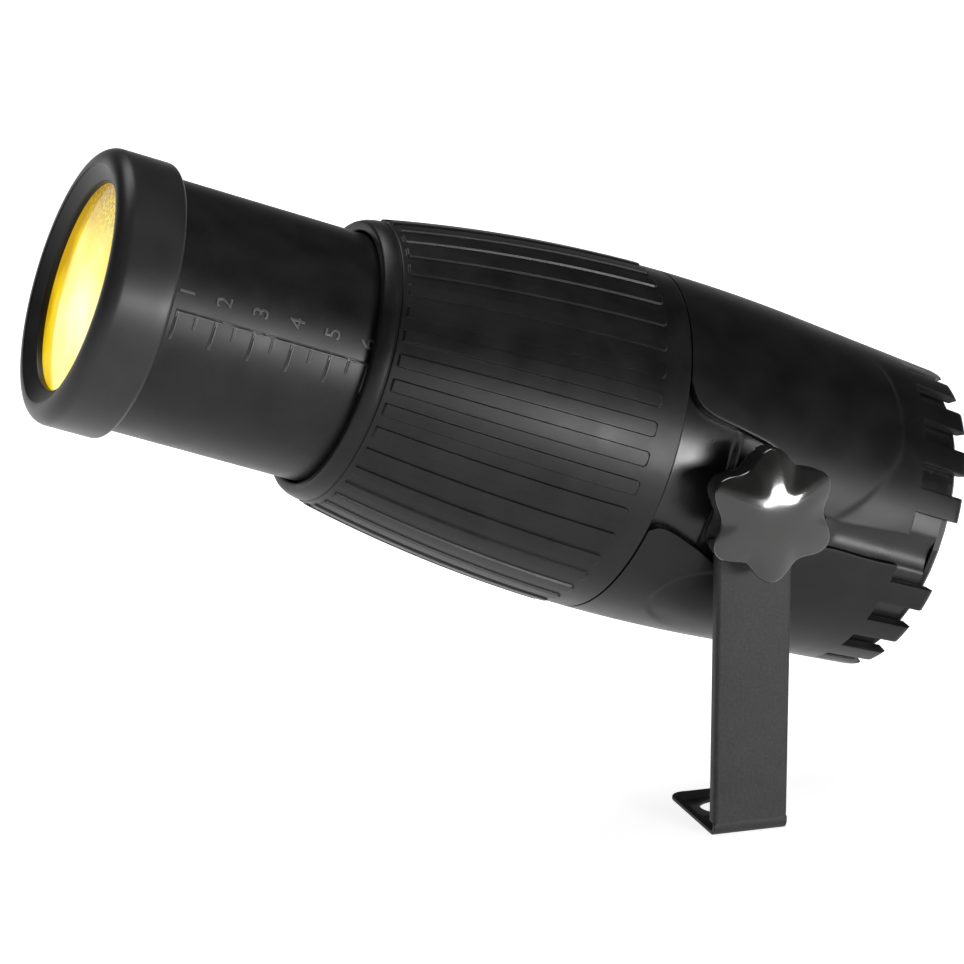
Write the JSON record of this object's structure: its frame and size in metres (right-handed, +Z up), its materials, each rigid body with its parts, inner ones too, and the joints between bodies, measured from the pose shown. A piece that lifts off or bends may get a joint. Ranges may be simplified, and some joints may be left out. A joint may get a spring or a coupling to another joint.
{
  "type": "follow spot",
  "caption": "Compact LED pattern spotlight with a sliding focus tube and ribbed grip sleeve, tilting on one bent sheet arm with a lobed clamp knob.",
  "frame": {"origin": "underside of the bracket foot, on the arm's centre line, 8 mm in from the arm's outer face", "axes": "+Z up out of the foot, -Y the way the lens looks in plan, +X out of the arm's clamp knob side"},
  "size_m": [0.1062, 0.2426, 0.1764],
  "materials": {
    "satin_black": "fine matt grain",
    "gloss_black": "polished",
    "black_paint": "powder coat",
    "steel": "bright",
    "brass": "turned",
    "aluminium": "extruded",
    "glass": "clear",
    "rubber": "matt",
    "circuit": "solder mask",
    "emitter": "phosphor"
  },
  "bodies": {
    "bracket": {"bracket": "black_paint"},
    "head": {"core_housing": "gloss_black", "upper_shell": "satin_black", "lower_shell": "satin_black", "friction_ring": "rubber", "pattern_holder": "black_paint", "pattern_glass": "glass", "spring_clip": "steel", "holder_screw_1": "steel", "holder_screw_2": "steel", "holder_screw_3": "steel", "condenser_holder": "satin_black", "condenser_lens": "glass", "led_board": "circuit", "led_emitter": "emitter", "board_screw_1": "steel", "board_screw_2": "steel", "heatsink": "aluminium", "driver_board": "circuit", "driver_transformer": "satin_black", "driver_capacitor": "gloss_black", "fan_frame": "satin_black", "fan_screw_1": "steel", "fan_screw_2": "steel", "rear_cover": "satin_black", "cover_screw_1": "steel", "cover_screw_2": "steel", "cover_screw_3": "steel", "cover_screw_4": "steel", "cable_gland": "satin_black", "gland_nut": "satin_black", "pivot_insert": "brass", "pivot_blank": "satin_black"},
    "fan": {"fan_rotor": "satin_black"},
    "sleeve": {"grip_sleeve": "satin_black", "guide_tube": "satin_black", "guide_screw_1": "steel", "guide_screw_2": "steel", "guide_screw_3": "steel"},
    "tube": {"lens_bezel": "satin_black", "lens_gasket": "rubber", "front_lens": "glass", "focus_tube": "satin_black", "guide_pin": "steel", "rear_lens": "glass", "rear_lens_retainer": "satin_black"},
    "washer": {"clamp_washer": "steel"},
    "knob": {"clamp_knob": "gloss_black", "clamp_stud": "steel"}
  },
  "joints": [
    {"name": "head_tilt", "type": "hinge", "parent": "bracket", "child": "head", "pos_m": [-0.0386, 0, 0.0864], "axis": [-1, 0, 0], "range_deg": [-54, 35]},
    {"name": "sleeve_twist", "type": "hinge", "parent": "head", "child": "sleeve", "pos_m": [-0.0386, 0, 0.0864], "axis": [0, -0.9421, 0.3355], "range_deg": [0, 32]},
    {"name": "focus_slide", "type": "slide", "parent": "sleeve", "child": "tube", "axis": [0, -0.9421, 0.3355], "range_m": [-0.046, 0]},
    {"name": "fan_spin", "type": "hinge", "parent": "head", "child": "fan", "pos_m": [-0.0386, 0, 0.0864], "axis": [0, -0.9421, 0.3355], "continuous": true},
    {"name": "washer_slide", "type": "slide", "parent": "head", "child": "washer", "axis": [1, 0, 0], "range_m": [0, 0.002]},
    {"name": "knob_turn", "type": "hinge", "parent": "washer", "child": "knob", "pos_m": [-0.0386, 0, 0.0864], "axis": [1, 0, 0], "range_deg": [0, 720.5]}
  ],
  "couplings": [
    {"joint": "knob_turn", "follows": "washer_slide", "rad_per_m": 6283.2}
  ]
}
